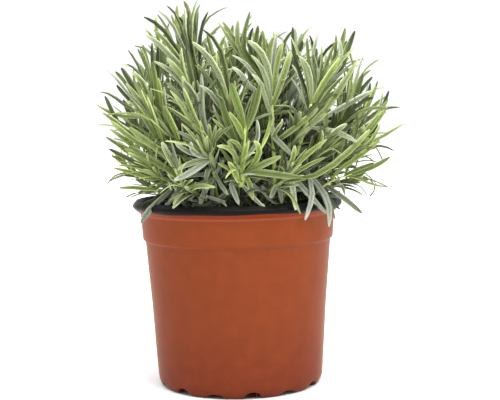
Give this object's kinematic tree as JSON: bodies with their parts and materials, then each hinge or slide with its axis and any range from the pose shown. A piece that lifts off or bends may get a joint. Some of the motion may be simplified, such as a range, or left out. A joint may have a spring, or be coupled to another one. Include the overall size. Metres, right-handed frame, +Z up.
{
  "type": "potted lavender plant",
  "caption": "Young lavender bush of narrow arching grey-green leaves, not yet in flower, in a round terracotta-coloured nursery pot with a rolled black lip.",
  "frame": {"origin": "centre of the pot's flat underside, where it rests on the floor", "axes": "+Z up along the pot's axis, -Y towards the front that the picture shows, +X to the right of it"},
  "size_m": [0.1915, 0.1929, 0.2371],
  "materials": {
    "pot_plastic": "satin",
    "potting_soil": "rough",
    "lavender_leaf": "matte"
  },
  "bodies": {
    "root": {"pot": "pot_plastic", "soil": "potting_soil", "leafy_shoot_01": "lavender_leaf", "leafy_shoot_02": "lavender_leaf", "leafy_shoot_03": "lavender_leaf", "leafy_shoot_04": "lavender_leaf", "leafy_shoot_05": "lavender_leaf", "leafy_shoot_06": "lavender_leaf", "leafy_shoot_07": "lavender_leaf", "leafy_shoot_08": "lavender_leaf", "leafy_shoot_09": "lavender_leaf", "leafy_shoot_10": "lavender_leaf", "leafy_shoot_11": "lavender_leaf", "leafy_shoot_12": "lavender_leaf", "leafy_shoot_13": "lavender_leaf", "leafy_shoot_14": "lavender_leaf", "leafy_shoot_15": "lavender_leaf", "leafy_shoot_16": "lavender_leaf", "leafy_shoot_17": "lavender_leaf", "leafy_shoot_18": "lavender_leaf", "leafy_shoot_19": "lavender_leaf", "leafy_shoot_20": "lavender_leaf", "leafy_shoot_21": "lavender_leaf", "leafy_shoot_22": "lavender_leaf", "leafy_shoot_23": "lavender_leaf", "leafy_shoot_24": "lavender_leaf", "leafy_shoot_25": "lavender_leaf", "leafy_shoot_26": "lavender_leaf", "leafy_shoot_27": "lavender_leaf", "leafy_shoot_28": "lavender_leaf", "leafy_shoot_29": "lavender_leaf", "leafy_shoot_30": "lavender_leaf", "leafy_shoot_31": "lavender_leaf", "leafy_shoot_32": "lavender_leaf", "leafy_shoot_33": "lavender_leaf", "leafy_shoot_34": "lavender_leaf", "leafy_shoot_35": "lavender_leaf", "leafy_shoot_36": "lavender_leaf", "leafy_shoot_37": "lavender_leaf", "leafy_shoot_38": "lavender_leaf", "leafy_shoot_39": "lavender_leaf", "leafy_shoot_40": "lavender_leaf", "leafy_shoot_41": "lavender_leaf", "leafy_shoot_42": "lavender_leaf", "leafy_shoot_43": "lavender_leaf", "leafy_shoot_44": "lavender_leaf", "leafy_shoot_45": "lavender_leaf", "leafy_shoot_46": "lavender_leaf", "leafy_shoot_47": "lavender_leaf", "leafy_shoot_48": "lavender_leaf", "leafy_shoot_49": "lavender_leaf", "leafy_shoot_50": "lavender_leaf", "leafy_shoot_51": "lavender_leaf", "leafy_shoot_52": "lavender_leaf"}
  },
  "joints": []
}
